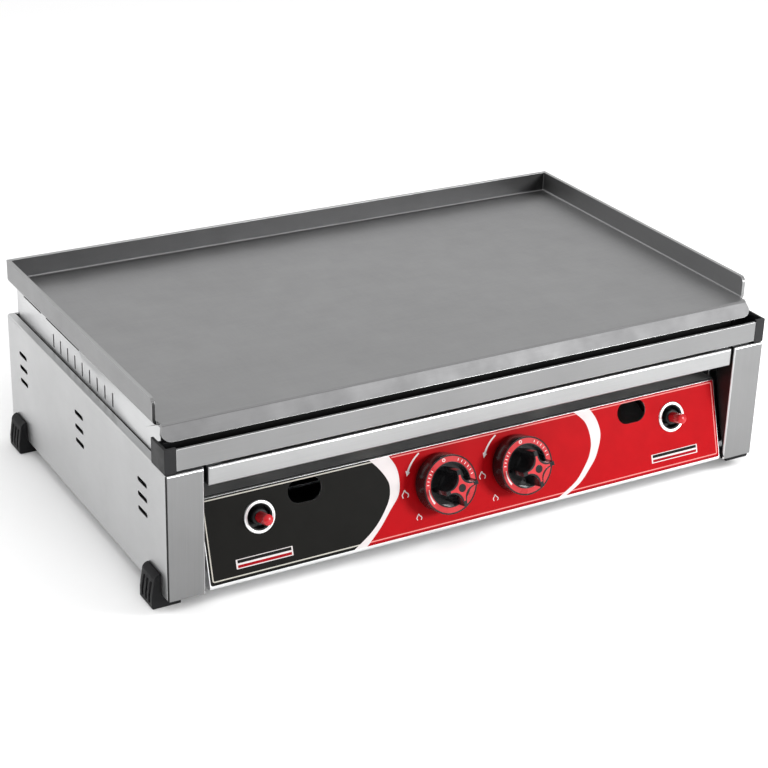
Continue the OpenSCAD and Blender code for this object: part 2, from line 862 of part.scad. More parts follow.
module foot_side() {
    x0 = foot_x[0];
    x1 = foot_x[1];
    polygon(concat(
        [[x0, 0], [x1 - 1, 0], [x1, 1.5], [x1, 12]],
        arc([half_w, foot_top - 7.5], 7.5, 20, 80, 6),
        [[half_w, foot_top - 0.5], [half_w, base_z], [x0, base_z]]));
}

module foot() {
    difference() {
        translate([0, foot_len / 2, 0]) rotate([90, 0, 0]) linear_extrude(foot_len) foot_side();
        // grip grooves in the outer face
        for (y = [-8, 0, 8]) translate([foot_x[1] - 2.5, y - 1.5, 5]) cube([6, 3, 22]);
        // hollow with the screw boss left standing
        difference() {
            translate([foot_x[0] + 2.5, -foot_len / 2 + 2.5, -1]) cube([25, foot_len - 5, base_z - 1.5]);
            translate([half_w - 5.2, 0, -2]) cylinder(r = 5, h = base_z);
        }
        translate([half_w - 5.2, 0, -1]) cylinder(r = 2, h = base_z + 2);
        translate([half_w - 5.2, 0, -1]) cylinder(r = 3.8, h = 4);
    }
}

module front_left_foot() {
    color(charcoal) placed() left_side() translate([0, foot_front + foot_len / 2, 0]) foot();
}

module front_right_foot() {
    color(charcoal) placed() translate([0, foot_front + foot_len / 2, 0]) foot();
}

module rear_left_foot() {
    color(charcoal) placed() left_side() translate([0, foot_rear + foot_len / 2, 0]) foot();
}

module rear_right_foot() {
    color(charcoal) placed() translate([0, foot_rear + foot_len / 2, 0]) foot();
}

module foot_screws() {
    color(galvanised) placed() both_sides() foot_places() translate([half_w - 5.2, 0, 0.8]) {
        cylinder(r = 3.6, h = 2.2);
        cylinder(r = 2, h = base_z + 7);
    }
}

module rear_screws() {
    color(galvanised) placed() both_sides() rear_screw_places() {
        translate([0, 0, -6]) cylinder(r = 2, h = 8, $fn = 24);
        translate([0, 0, sheet_t]) pan_head(4, 2.4);
    }
}

// ---------- grease tray ----------

// flat strips that the tray slides on; they also tie the front rail to the posts
module tray_runners() {
    color(galvanised) placed() both_sides() translate([290, 8, side_top])
        cube([45, 42, tray_low - side_top - 0.3]);
}

module grease_tray() {
    color(stainless) placed() translate([-tray_half, 0, 0]) {
        translate([0, tray_front, tray_low]) cube([2 * tray_half, tray_t, tray_top - tray_low]);
        translate([0, tray_front, tray_low]) cube([2 * tray_half, tray_back - tray_front, tray_t]);
        translate([0, tray_back - tray_t, tray_low])
            cube([2 * tray_half, tray_t, tray_rear_top - tray_low]);
        // hemmed front rim
        translate([0, tray_front, tray_top - 1]) cube([2 * tray_half, 3, 1]);
        translate([0, tray_front + 2.2, tray_top - 4]) cube([2 * tray_half, 0.8, 4]);
    }
}

module tray_cap() {
    front = tray_front - 0.4;
    difference() {
        translate([tray_half, front, cap_low]) cube([half_w - tray_half, tray_back - front, 26.3]);
        translate([tray_half - 1, front + cap_wall, cap_low + cap_wall])
            cube([half_w - tray_half + 1 - cap_wall, tray_back - front - 2 * cap_wall, 30]);
        // the pouring lip hangs over the rear wall
        translate([tray_half - 1, tray_back - cap_wall - 1, tray_rear_top])
            cube([half_w - tray_half + 1 - cap_wall, cap_wall + 2, 10]);
    }
    // tongue that plugs into the end of the tray
    difference() {
        translate([tray_half - 8, tray_front + tray_t, tray_low + tray_t + 0.3])
            cube([8, tray_back - tray_front - 2 * tray_t, 15]);
        translate([tray_half - 9, tray_front + 3, tray_low + tray_t + 1.8])
            cube([10, tray_back - tray_front - 6, 20]);
    }
}

module left_tray_cap() {
    color(black_plastic) placed() left_side() tray_cap();
}

module right_tray_cap() {
    color(black_plastic) placed() tray_cap();
}

// ---------- knobs and igniter buttons ----------

module star(tip_r, cut_r, cut_d) {
    difference() {
        circle(tip_r, $fn = 96);
        for (a = [45:90:315]) rotate(a) translate([cut_d, 0]) circle(cut_r, $fn = 64);
    }
}

// D-shaped section shared by the stem and the knob's bore
module stem_section() {
    difference() {
        circle(stem_r);
        translate([stem_r - 1.2, -stem_r]) square([2, 2 * stem_r]);
    }
}

module knob() {
    on_panel(knob_x, knob_v) difference() {
        union() {
            translate([0, 0, knob_gap]) cylinder(r = knob_r, h = knob_rim - knob_gap);
            rotate(star_turn) translate([0, 0, 10]) linear_extrude(knob_h - 10)
                star(star_r, star_cut_r, star_cut_d);
        }
        // hollow skirt around the hub
        difference() {
            translate([0, 0, knob_gap - 1]) cylinder(r = knob_r - 2, h = 11.5);
            cylinder(r = 9, h = 30);
        }
        // seat of the dial ring
        difference() {
            translate([0, 0, ring_h - 1.2]) cylinder(r = ring_out, h = 5);
            translate([0, 0, ring_h - 2]) cylinder(r = ring_in, h = 8);
        }
        // well around the grip
        difference() {
            translate([0, 0, 17]) cylinder(r = ring_in - 1.2, h = 8);
            rotate(star_turn) translate([0, 0, 16]) linear_extrude(12) star(star_r, star_cut_r, star_cut_d);
            translate([0, 0, 16]) cylinder(r = 11, h = 4);
        }
        // seat of the cap
        translate([0, 0, knob_h - 0.8]) linear_extrude(2) difference() {
            rotate(star_turn) star(cap_r, cap_cut_r, cap_cut_d);
            circle(cap_dot_r);
        }
        translate([0, 0, knob_gap - 1]) linear_extrude(stem_out - knob_gap + 1) stem_section();
    }
}

module dial_ring() {
    on_panel(knob_x, knob_v) translate([0, 0, ring_h - 1.2]) difference() {
        cylinder(r = ring_out, h = 1.2);
        translate([0, 0, -1]) cylinder(r = ring_in, h = 4);
    }
}

module knob_cap() {
    on_panel(knob_x, knob_v) translate([0, 0, knob_h - 0.8]) linear_extrude(0.8) difference() {
        rotate(star_turn) star(cap_r, cap_cut_r, cap_cut_d);
        circle(cap_dot_r);
    }
}

module valve_stem() {
    on_panel(knob_x, knob_v) {
        translate([0, 0, -stem_in + 0.1]) cylinder(r = stem_r, h = stem_in);
        linear_extrude(stem_out) stem_section();
    }
}

module thrust_pin() {
    on_panel(knob_x, knob_v) {
        translate([0, 0, -stem_in - 3]) cylinder(r = 5.5, h = 3);
        translate([0, 0, -stem_in - 17]) cylinder(r = 2, h = 15);
    }
}

module igniter_button() {
    on_panel(igniter_x, igniter_v) {
        translate([0, 0, -22]) cylinder(r = 5.42, h = 42);
        translate([0, 0, 20]) rotate_extrude() intersection() {
            translate([0, -5.6]) circle(7.8);
            square([5.42, 4]);
        }
    }
}

module left_thrust_pin() {
    color(galvanised) placed() left_side() thrust_pin();
}

module right_thrust_pin() {
    color(galvanised) placed() thrust_pin();
}

module left_valve_stem() {
    color(brass) placed() translate([-2 * knob_x, 0, 0]) valve_stem();
}

module right_valve_stem() {
    color(brass) placed() valve_stem();
}

module left_knob() {
    color(black_plastic) placed() translate([-2 * knob_x, 0, 0]) knob();
}

module right_knob() {
    color(black_plastic) placed() knob();
}

module left_dial_ring() {
    color(label_red) placed() left_side() dial_ring();
}

module right_dial_ring() {
    color(label_red) placed() dial_ring();
}

module left_knob_cap() {
    color(label_red) placed() translate([-2 * knob_x, 0, 0]) knob_cap();
}

module right_knob_cap() {
    color(label_red) placed() knob_cap();
}

module left_igniter_button() {
    color(label_red) placed() left_side() igniter_button();
}

module right_igniter_button() {
    color(label_red) placed() igniter_button();
}

griddle_plate();
plate_studs();
plate_nuts();
plate_brackets();
left_side_panel();
right_side_panel();
rear_panel();
bottom_pan();
left_front_post();
right_front_post();
front_top_rail();
control_panel();
panel_brackets();
panel_label();
left_firebox_wall();
right_firebox_wall();
rear_firebox_wall();
front_firebox_wall();
heat_shield();
left_burner();
right_burner();
burner_supports();
gas_manifold();
left_gas_valve();
right_gas_valve();
valve_screws();
feed_pipes();
gas_injectors();
thermocouples();
spark_electrodes();
ignition_leads();
left_piezo_igniter();
right_piezo_igniter();
igniter_bezels();
front_left_foot();
front_right_foot();
rear_left_foot();
rear_right_foot();
gas_inlet();
inlet_locknut();
gas_supply_pipe();
tray_runners();
rear_screws();
foot_screws();
grease_tray();
left_tray_cap();
right_tray_cap();
left_thrust_pin();
right_thrust_pin();
left_valve_stem();
right_valve_stem();
left_knob();
right_knob();
left_dial_ring();
right_dial_ring();
left_knob_cap();
right_knob_cap();
left_igniter_button();
right_igniter_button();
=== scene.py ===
"""Looks of the flat top griddle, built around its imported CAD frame. Metres, in the row's frame."""
import json
import math
import bmesh
import bpy
from mathutils import Matrix, Vector

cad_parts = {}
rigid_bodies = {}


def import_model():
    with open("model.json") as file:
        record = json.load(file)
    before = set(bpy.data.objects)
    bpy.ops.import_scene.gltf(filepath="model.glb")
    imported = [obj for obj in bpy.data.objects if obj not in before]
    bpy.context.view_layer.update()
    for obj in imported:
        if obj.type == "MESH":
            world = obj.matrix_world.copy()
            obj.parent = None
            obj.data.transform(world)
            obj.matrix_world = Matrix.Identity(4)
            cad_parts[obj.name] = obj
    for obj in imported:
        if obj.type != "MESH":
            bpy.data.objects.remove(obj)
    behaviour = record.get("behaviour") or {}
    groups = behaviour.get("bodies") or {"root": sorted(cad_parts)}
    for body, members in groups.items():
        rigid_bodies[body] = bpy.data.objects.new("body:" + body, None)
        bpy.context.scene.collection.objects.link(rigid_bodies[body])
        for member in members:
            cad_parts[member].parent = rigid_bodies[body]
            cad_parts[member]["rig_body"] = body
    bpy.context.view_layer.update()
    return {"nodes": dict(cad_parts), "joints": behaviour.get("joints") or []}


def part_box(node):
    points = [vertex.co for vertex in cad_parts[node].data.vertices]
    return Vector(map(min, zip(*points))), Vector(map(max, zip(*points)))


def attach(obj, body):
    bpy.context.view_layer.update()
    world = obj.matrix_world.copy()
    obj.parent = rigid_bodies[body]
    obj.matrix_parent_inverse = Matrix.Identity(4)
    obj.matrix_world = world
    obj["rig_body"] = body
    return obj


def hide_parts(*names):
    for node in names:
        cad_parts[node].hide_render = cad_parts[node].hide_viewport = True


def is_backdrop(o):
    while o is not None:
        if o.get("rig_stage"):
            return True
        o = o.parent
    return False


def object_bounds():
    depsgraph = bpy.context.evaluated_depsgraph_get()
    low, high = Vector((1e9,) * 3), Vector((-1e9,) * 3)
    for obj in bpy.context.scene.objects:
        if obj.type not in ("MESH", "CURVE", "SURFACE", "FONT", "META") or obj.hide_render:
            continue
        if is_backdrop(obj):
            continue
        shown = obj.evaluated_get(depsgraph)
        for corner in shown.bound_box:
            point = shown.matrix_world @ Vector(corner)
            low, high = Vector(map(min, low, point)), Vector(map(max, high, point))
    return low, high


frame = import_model()
MM = 0.001
SIDES = ((-1, "left"), (1, "right"))

# ---------- the control panel's frame ----------
# u runs along +X, v up the slope and h out of the face, all in millimetres.
# The right knob's turning joint gives the panel's tilt and place.
KNOB_U = 45.5
KNOB_V = 50.0
IGNITER_U = 246.5
IGNITER_V = 58.5
SIGHT_U = 195.5
SIGHT_V = 74.3
knob_joint = next(j for j in frame["joints"] if j["name"] == "right_knob_turn")
PANEL_N = Vector(knob_joint["axis"]).normalized()
PANEL_U = Vector((1, 0, 0))
PANEL_V = PANEL_N.cross(PANEL_U)
PANEL_ORIGIN = Vector(knob_joint["pos_m"]) - (PANEL_U * KNOB_U + PANEL_V * KNOB_V) * MM
LABEL_T = 0.3
LABEL_HALF = 305.5
LABEL_LOW = 2.3
LABEL_TOP = 87.8


def panel_matrix(u=0.0, v=0.0, h=0.0):
    """Places a piece that is drawn in millimetres in the panel's frame, with its origin at (u, v, h)."""
    at = PANEL_ORIGIN + (PANEL_U * u + PANEL_V * v + PANEL_N * h) * MM
    m = Matrix.Identity(4)
    for i in range(3):
        m[i][0], m[i][1], m[i][2], m[i][3] = PANEL_U[i] * MM, PANEL_V[i] * MM, PANEL_N[i] * MM, at[i]
    return m


# ---------- materials ----------
EVEN = (1, 1, 1)


def new_material(name):
    mat = bpy.data.materials.new(name)
    mat.use_nodes = True
    return mat, mat.node_tree, mat.node_tree.nodes["Principled BSDF"]


def stretched(tree, scale=EVEN):
    """Object coordinates in metres times a scale. A pattern is long along the axis whose scale is small."""
    coords = tree.nodes.new("ShaderNodeTexCoord")
    mapping = tree.nodes.new("ShaderNodeMapping")
    mapping.inputs["Scale"].default_value = scale
    tree.links.new(coords.outputs["Object"], mapping.inputs["Vector"])
    return mapping.outputs["Vector"]


def noise(tree, vector, scale, detail=4.0, rough=0.55):
    """Noise of about 0.3 to 0.7: scale is its cells per unit, detail and rough its finer layers."""
    node = tree.nodes.new("ShaderNodeTexNoise")
    node.inputs["Scale"].default_value = scale
    node.inputs["Detail"].default_value = detail
    node.inputs["Roughness"].default_value = rough
    tree.links.new(vector, node.inputs["Vector"])
    return node.outputs["Fac"]


def spread(tree, value, low, high, from_low=0.3, from_high=0.7):
    """Turns a noise value into a number between low and high."""
    node = tree.nodes.new("ShaderNodeMapRange")
    node.inputs["From Min"].default_value = from_low
    node.inputs["From Max"].default_value = from_high
    node.inputs["To Min"].default_value = low
    node.inputs["To Max"].default_value = high
    tree.links.new(value, node.inputs["Value"])
    return node.outputs["Result"]


def combine(tree, operation, a, b):
    node = tree.nodes.new("ShaderNodeMath")
    node.operation = operation
    tree.links.new(a, node.inputs[0])
    tree.links.new(b, node.inputs[1])
    return node.outputs["Value"]


def tint(tree, colour, factor):
    """The colour, made lighter or darker by a factor that varies over the surface."""
    node = tree.nodes.new("ShaderNodeMix")
    node.data_type = "RGBA"
    node.blend_type = "MULTIPLY"
    node.inputs["Factor"].default_value = 1.0
    node.inputs["A"].default_value = (*colour, 1)
    tree.links.new(factor, node.inputs["B"])
    return node.outputs["Result"]


def set_look(tree, bsdf, colour, shade, rough, metallic=0.0):
    """Connects a shaded colour and a varying roughness to the shader."""
    tree.links.new(tint(tree, colour, shade), bsdf.inputs["Base Color"])
    tree.links.new(rough, bsdf.inputs["Roughness"])
    bsdf.inputs["Metallic"].default_value = metallic


def add_bump(tree, bsdf, height, distance):
    """Relief of the given depth in metres."""
    node = tree.nodes.new("ShaderNodeBump")
    node.inputs["Strength"].default_value = 1.0
    node.inputs["Distance"].default_value = distance
    tree.links.new(height, node.inputs["Height"])
    tree.links.new(node.outputs["Normal"], bsdf.inputs["Normal"])


def brushed_metal(name, colour, grain, rough):
    """Sheet metal brushed along one axis: grain is the scale of the lines along X, Y and Z."""
    mat, tree, bsdf = new_material(name)
    lines = noise(tree, stretched(tree, grain), 1.0, 6, 0.7)
    broad = noise(tree, stretched(tree), 9.0, 3)
    smudge = noise(tree, stretched(tree), 38.0, 5, 0.65)
    shade = combine(tree, "MULTIPLY", spread(tree, lines, 0.93, 1.05), spread(tree, broad, 0.94, 1.04))
    smeared = combine(tree, "ADD", spread(tree, lines, *rough), spread(tree, smudge, -0.03, 0.05))
    set_look(tree, bsdf, colour, shade, smeared, 1.0)
    add_bump(tree, bsdf, lines, 0.02 * MM)
    return mat


def plate_steel(name, colour, rough=(0.40, 0.50)):
    """Rolled steel of the cooking plate: fine cross scratches, faint oil film and heat tint."""
    mat, tree, bsdf = new_material(name)
    along = noise(tree, stretched(tree, (25, 1400, 1400)), 1.0, 5, 0.7)
    across = noise(tree, stretched(tree, (900, 40, 900)), 1.0, 4, 0.6)
    broad = noise(tree, stretched(tree), 5.0, 4)
    film = noise(tree, stretched(tree), 26.0, 6, 0.6)
    scratches = combine(tree, "ADD", spread(tree, along, 0.0, 1.0), spread(tree, across, 0.0, 0.5))
    worn = spread(tree, scratches, 0.96, 1.03, 0.3, 1.1)
    shade = combine(tree, "MULTIPLY", worn, spread(tree, broad, 0.96, 1.03))
    set_look(tree, bsdf, colour, shade, spread(tree, film, *rough), 1.0)
    add_bump(tree, bsdf, scratches, 0.012 * MM)
    return mat


def moulded_plastic(name, colour, rough, grain_scale, depth, coat=0.0, ior=1.45):
    """Injection-moulded plastic with a fine grain and faint handling marks."""
    mat, tree, bsdf = new_material(name)
    grain = noise(tree, stretched(tree), grain_scale, 3)
    marks = noise(tree, stretched(tree), 60.0, 5, 0.65)
    handled = spread(tree, marks, rough * 0.8, rough * 1.3)
    set_look(tree, bsdf, colour, spread(tree, marks, 0.88, 1.12), handled)
    bsdf.inputs["IOR"].default_value = ior
    bsdf.inputs["Coat Weight"].default_value = coat
    bsdf.inputs["Coat Roughness"].default_value = 0.08
    add_bump(tree, bsdf, grain, depth)
    return mat


def printed_film(name, colour):
    """Polyester label film: ink under a clear face, with slight unevenness and dust-fine scratches."""
    mat, tree, bsdf = new_material(name)
    wave = noise(tree, stretched(tree), 45.0, 2)
    scratches = noise(tree, stretched(tree, (60, 1500, 1500)), 1.0, 5, 0.7)
    uneven = spread(tree, scratches, 0.306, 0.45)
    set_look(tree, bsdf, colour, spread(tree, wave, 0.95, 1.05), uneven)
    bsdf.inputs["IOR"].default_value = 1.13
    add_bump(tree, bsdf, wave, 0.02 * MM)
    return mat


def zinc_plate(name, colour):
    """Zinc-plated or galvanised steel: a soft spangle of crystals."""
    mat, tree, bsdf = new_material(name)
    cells = tree.nodes.new("ShaderNodeTexVoronoi")
    cells.inputs["Scale"].default_value = 140.0
    tree.links.new(stretched(tree), cells.inputs["Vector"])
    grey = tree.nodes.new("ShaderNodeRGBToBW")
    tree.links.new(cells.outputs["Color"], grey.inputs["Color"])
    crystal = grey.outputs["Val"]
    rough = spread(tree, crystal, 0.34, 0.52, 0, 1)
    set_look(tree, bsdf, colour, spread(tree, crystal, 0.86, 1.08, 0, 1), rough, 1.0)
    add_bump(tree, bsdf, noise(tree, stretched(tree), 300.0, 3), 0.02 * MM)
    return mat


def turned_metal(name, colour, rough):
    """Machined brass or bright steel with fine turning marks and some tarnish."""
    mat, tree, bsdf = new_material(name)
    marks = noise(tree, stretched(tree, (1500, 1500, 1500)), 1.0, 2)
    tarnish = noise(tree, stretched(tree), 70.0, 5, 0.6)
    polish = spread(tree, tarnish, rough * 1.4, rough * 0.8)
    set_look(tree, bsdf, colour, spread(tree, tarnish, 0.78, 1.06), polish, 1.0)
    add_bump(tree, bsdf, marks, 0.01 * MM)
    return mat


def floor_paper(name):
    """Pale backdrop paper with a faint fibre."""
    mat, tree, bsdf = new_material(name)
    fibre = noise(tree, stretched(tree), 90.0, 3)
    paper = tint(tree, (0.93, 0.93, 0.93), spread(tree, fibre, 0.995, 1.0))
    tree.links.new(paper, bsdf.inputs["Base Color"])
    bsdf.inputs["Roughness"].default_value = 0.6
    return mat


def steel(name, level, grain, rough=(0.30, 0.42)):
    """Brushed stainless sheet: level is how light it is, with a touch of blue. The level set for each part
    paints in its light and shade.
    """
    return brushed_metal("steel_" + name, (level, level * 1.005, level * 1.01), grain, rough)


ALONG = 12
ACROSS = 2200
ALONG_X = (ALONG, ACROSS, ACROSS)
ALONG_Y = (ACROSS, ALONG, ACROSS)
ALONG_Z = (ACROSS, ACROSS, ALONG)
materials = {
    "plate": plate_steel("plate_steel", (0.30, 0.30, 0.303)),
    # Copies of the plate steel for painted light and shade: the lip darker and rougher and the inside of the
    # rear wall near black, both painted shade; the outsides of the walls lighter, painted light.
    "plate_lip_painted_shade": plate_steel("plate_steel_lip_painted_shade", (0.152, 0.152, 0.154), (0.50, 0.60)),
    "plate_rear_painted_shade": plate_steel("plate_steel_rear_painted_shade", (0.075, 0.075, 0.076)),
    "plate_outside_painted_light": plate_steel("plate_steel_outside_painted_light", (0.33, 0.33, 0.333)),
    # Copies of one brushed stainless finish. Their levels are painted light and shade: each part is set
    # lighter or darker for how the studio light falls on it. The bend, top and edge copies are painted
    # highlights and painted light; the inner and fold copies are painted shade.
    "steel_side": steel("side", 0.54, ALONG_Y),
    "steel_wall": steel("wall", 0.68, ALONG_Y),
    "steel_rear": steel("rear", 0.50, ALONG_X),
    "steel_post": steel("post", 0.24, ALONG_Z),
    "steel_rail": steel("rail", 0.38, ALONG_X),
    "steel_tray": steel("tray", 0.255, ALONG_X),
    "steel_panel": steel("panel", 0.80, ALONG_X),
    "steel_ledge": steel("ledge", 0.80, ALONG_X, (0.45, 0.55)),
    "steel_inner": steel("inner", 0.05, ALONG_Z, (0.45, 0.55)),
    "steel_bend": steel("bend", 0.62, ALONG_Y),
    "steel_fold": steel("fold", 0.07, ALONG_X, (0.60, 0.70)),
    "steel_top": steel("top", 0.36, ALONG_Y),
    "steel_edge": steel("edge", 0.88, (400, 400, 400), (0.24, 0.34)),
    # Near black, for painted shade in the narrow gaps between sheets.
    "gap_painted_shade": moulded_plastic("gap_painted_shade", (0.03, 0.03, 0.03), 0.7, 900, 0.01 * MM, ior=1.3),
    "zinc": zinc_plate("zinc_plated", (0.42, 0.43, 0.445)),
    "brass": turned_metal("machined_brass", (0.62, 0.47, 0.22), 0.28),
    "bright": turned_metal("bright_steel", (0.95, 0.95, 0.95), 0.30),
    "ceramic": moulded_plastic("ceramic", (0.80, 0.77, 0.70), 0.6, 900, 0.02 * MM),
    "knob_black": moulded_plastic("knob_black", (0.008, 0.008, 0.009), 0.20, 500, 0.004 * MM, 0.2, 1.4),
    "cap_black": moulded_plastic("cap_black", (0.010, 0.010, 0.011), 0.40, 700, 0.01 * MM, ior=1.33),
    "foot_charcoal": moulded_plastic("foot_charcoal", (0.010, 0.010, 0.011), 0.5, 1500, 0.04 * MM, ior=1.25),
    "red_plastic": moulded_plastic("red_plastic", (0.47, 0.008, 0.014), 0.30, 600, 0.006 * MM, 0.1, 1.4),
    "film_black": printed_film("film_black", (0.009, 0.0088, 0.008)),
    "film_red": printed_film("film_red", (0.37, 0.003, 0.006)),
    "ink_dark_red": printed_film("ink_dark_red", (0.28, 0.003, 0.008)),
    "ink_white": printed_film("ink_white", (0.63, 0.585, 0.585)),
    "ink_pale": printed_film("ink_pale", (0.48, 0.46, 0.41)),
    "ink_pink": printed_film("ink_pink", (0.66, 0.22, 0.21)),
    "wire": moulded_plastic("silicone_wire", (0.05, 0.02, 0.02), 0.5, 900, 0.02 * MM),
}


def paint(obj, key):
    """Gives the whole object one look."""
    obj.data.materials.clear()
    obj.data.materials.append(materials[key])


# ---------- making pieces ----------
def link(name, mesh):
    obj = bpy.data.objects.new(name, mesh)
    bpy.context.scene.collection.objects.link(obj)
    return obj


MERGE = 0.002 * MM
FLAT_ANGLE = math.radians(1.0)
SHARP_ANGLE = math.radians(30.0)


def softened(node, key, width, angle=25.0):
    """A piece with the shape of a CAD node. Edges sharper than the angle in degrees are broken by a small
    round of the width in millimetres, as on the real part. A width of 0 leaves them sharp."""
    source = frame["nodes"][node]
    bm = bmesh.new()
    bm.from_mesh(source.data)
    bmesh.ops.remove_doubles(bm, verts=bm.verts, dist=MERGE)
    if width:
        bmesh.ops.dissolve_limit(bm, angle_limit=FLAT_ANGLE, verts=bm.verts, edges=bm.edges)
    mesh = bpy.data.meshes.new(node + "_shape")
    bm.to_mesh(mesh)
    bm.free()
    obj = link(node + "_piece", mesh)
    mesh.shade_smooth()
    mesh.set_sharp_from_angle(angle=SHARP_ANGLE)
    if width:
        bevel = obj.modifiers.new("bevel", "BEVEL")
        bevel.width = width * MM
        bevel.segments = 2
        bevel.limit_method = "ANGLE"
        bevel.angle_limit = math.radians(angle)
        bevel.harden_normals = True
        bevel.miter_outer = "MITER_ARC"
        bevel.use_clamp_overlap = key in ("knob_black", "red_plastic")
    paint(obj, key)
    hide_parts(node)
    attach(obj, source["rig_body"])
    return obj


def painted_edge_highlight(obj, key):
    """Gives the broken edges of a softened piece a look of their own; here always a lighter steel, as a
    painted highlight.
    """
    obj.data.materials.append(materials[key])
    obj.modifiers["bevel"].material = len(obj.data.materials) - 1


def paint_faces(obj, key, chosen):
    """Gives the faces for which chosen(normal, centre) holds a look of their own."""
    obj.data.materials.append(materials[key])
    for face in obj.data.polygons:
        if chosen(face.normal, face.center):
            face.material_index = len(obj.data.materials) - 1


def flat_piece(name, outlines, key, thickness, matrix, body="root"):
    """A flat print or film: the first outline is its edge and the others are holes, in millimetres."""
    curve = bpy.data.curves.new(name + "_outline", "CURVE")
    curve.dimensions = "2D"
    curve.fill_mode = "BOTH"
    curve.extrude = thickness / 2
    for outline in outlines:
        spline = curve.splines.new("POLY")
        spline.points.add(len(outline) - 1)
        for point, (x, y) in zip(spline.points, outline):
            point.co = (x, y, 0, 1)
        spline.use_cyclic_u = True
    drawn = bpy.data.objects.new(name + "_drawn", curve)
    mesh = bpy.data.meshes.new_from_object(drawn)
    mesh.name = name + "_shape"
    bpy.data.objects.remove(drawn)
    mesh.transform(Matrix.Translation((0, 0, thickness / 2)))
    mesh.transform(matrix)
    obj = link(name, mesh)
    paint(obj, key)
    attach(obj, body)
    return obj


def arc(cx, cy, r, a0, a1, steps=16):
    """Points on an arc from angle a0 to a1, in degrees."""
    angles = [math.radians(a0 + (a1 - a0) * i / steps) for i in range(steps + 1)]
    return [(cx + r * math.cos(a), cy + r * math.sin(a)) for a in angles]


def on_circle(cx, cy, r, angle):
    """One point on a circle."""
    return arc(cx, cy, r, angle, angle, 1)[0]


def circle(cx, cy, r, steps=64):
    return arc(cx, cy, r, 0, 360 * (steps - 1) / steps, steps - 1)


def quarter(cx, cy, r, start):
    """A rounded corner: a quarter of a circle."""
    return arc(cx, cy, r, start, start + 90, 6)


def rounded_box(x0, x1, y0, y1, r):
    return (quarter(x1 - r, y0 + r, r, 270) + quarter(x1 - r, y1 - r, r, 0)
            + quarter(x0 + r, y1 - r, r, 90) + quarter(x0 + r, y0 + r, r, 180))


def obround(cx, cy, length, width):
    r = width / 2
    dx = length / 2 - r
    return arc(cx + dx, cy, r, -90, 90, 24) + arc(cx - dx, cy, r, 90, 270, 24)


def curve_through(points, steps=10):
    """A smooth line through the points, by Catmull-Rom."""
    p = [points[0]] + list(points) + [points[-1]]
    line = []
    for i in range(1, len(p) - 2):
        a, b, c, d = (Vector(q) for q in p[i - 1:i + 3])
        for k in range(steps):
            t = k / steps
            q = 0.5 * (2 * b + (c - a) * t + (2 * a - 5 * b + 4 * c - d) * t ** 2
                       + (3 * b - a - 3 * c + d) * t ** 3)
            line.append((q.x, q.y))
    return line + [tuple(points[-1])]


def ribbon(points, width, end_width=None):
    """The outline of a stroke along a line, which may taper."""
    end_width = width if end_width is None else end_width
    left, right = [], []
    last = len(points) - 1
    for i, (x, y) in enumerate(points):
        x0, y0 = points[max(i - 1, 0)]
        x1, y1 = points[min(i + 1, last)]
        d = Vector((x1 - x0, y1 - y0)).normalized()
        half = (width + (end_width - width) * i / last) / 2
        left.append((x - d.y * half, y + d.x * half))
        right.append((x + d.y * half, y - d.x * half))
    return left + right[::-1]


# ---------- sheet metal, plate and mouldings ----------
# Degrees. The plate's fold at the lip is a bend and stays as drawn; only sharper edges are broken.
LIP_FOLD = 65.0
piece = {"griddle_plate": softened("griddle_plate", "plate", 0.5, LIP_FOLD)}
for key, width, nodes in (
    ("steel_side", 0.25, ("left_side_panel", "right_side_panel")),
    ("steel_rear", 0.25, ("rear_panel",)),
    ("zinc", 0.25, ("bottom_pan",)),
    ("steel_post", 0.25, ("left_front_post", "right_front_post")),
    ("steel_rail", 0.25, ("front_top_rail",)),
    ("steel_ledge", 0.25, ("control_panel",)),
    ("steel_wall", 0, ("left_firebox_wall", "right_firebox_wall")),
    ("steel_rear", 0, ("rear_firebox_wall",)),
    ("steel_tray", 0.4, ("grease_tray",)),
    ("cap_black", 0.6, ("left_tray_cap", "right_tray_cap")),
    ("foot_charcoal", 0.8, ("front_left_foot", "front_right_foot", "rear_left_foot", "rear_right_foot")),
    ("knob_black", 0.8, ("left_knob", "right_knob")),
    ("red_plastic", 0.15, ("left_dial_ring", "right_dial_ring", "left_knob_cap", "right_knob_cap")),
    ("cap_black", 0.3, ("left_piezo_igniter", "right_piezo_igniter")),
    ("brass", 0.5, ("inlet_locknut",)),
):
    for node in nodes:
        piece[node] = softened(node, key, width)

plate_low, plate_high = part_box("griddle_plate")
side_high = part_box("left_side_panel")[1]
tray_low, tray_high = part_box("grease_tray")

# Faces with a look of their own are picked by normal n and centre c, within these depths of the part's box.
SKIN = 2 * MM
RIM_DEPTH = 4 * MM
REAR_WALL_DEPTH = 20 * MM
WALL_END_DEPTH = 50 * MM
WALL_END_HEIGHT = 30 * MM


def wall_end(n, c):
    """The cut front end of a splash wall."""
    return n.y < -0.9 and c.y < plate_low[1] + WALL_END_DEPTH and c.z > plate_high[2] - WALL_END_HEIGHT


def wall_outside(n, c):
    return abs(n.x) > 0.5 and abs(c.x) > plate_high[0] - SKIN


def wall_top(n, c):
    return n.z > 0.9 and c.z > plate_high[2] - SKIN / 2


def rear_wall_inside(n, c):
    return n.y < -0.9 and c.y > plate_high[1] - REAR_WALL_DEPTH


def front_bend(n, c):
    """The bend between a front face and the flange over it, painted bright as a painted highlight."""
    return n.y < -0.2 and n.z > 0.2


def tray_rim_inside(n, c):
    return n.y > 0.5 and c.y < tray_low[1] + RIM_DEPTH


def tray_back_wall(n, c):
    return n.y < -0.5 and c.y > tray_low[1] + RIM_DEPTH


def tray_floor(n, c):
    return n.z > 0.5 and c.z < tray_high[2] - SKIN
